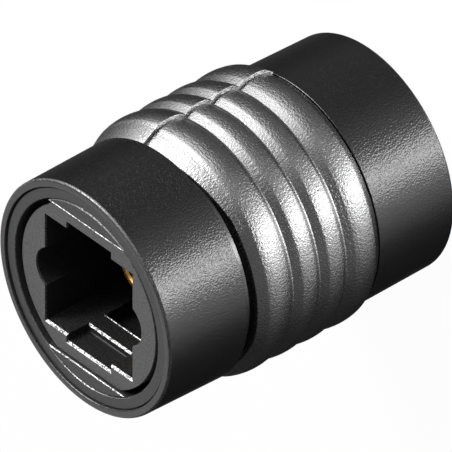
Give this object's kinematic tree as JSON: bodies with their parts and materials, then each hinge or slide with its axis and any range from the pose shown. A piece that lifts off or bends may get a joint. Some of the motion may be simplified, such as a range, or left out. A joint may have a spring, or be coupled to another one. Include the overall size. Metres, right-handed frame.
{
  "type": "optical audio coupler",
  "caption": "Round barrel coupler that joins two optical audio plugs end to end: keyed sockets at both ends, brass ferrule sleeve on the axis, ribbed metal grip band.",
  "frame": {"origin": "centre of the rear face, on the barrel's axis; the coupler stands on its rear end", "axes": "+Z along the barrel from the rear opening to the front opening; +Y towards one flat of the front window"},
  "size_m": [0.0176, 0.0176, 0.0235],
  "materials": {
    "shell": "fine grained",
    "bezel": "fine matte",
    "socket": "fine matte",
    "core": "smooth",
    "grip": "blasted, dark anodised",
    "sleeve": "turned"
  },
  "bodies": {
    "root": {"front_shell": "shell", "rear_shell": "shell", "front_bezel": "bezel", "rear_bezel": "bezel", "front_socket": "socket", "rear_socket": "socket", "ferrule_sleeve": "sleeve", "core_tube": "core", "grip_half_left": "grip", "grip_half_right": "grip"}
  },
  "joints": []
}
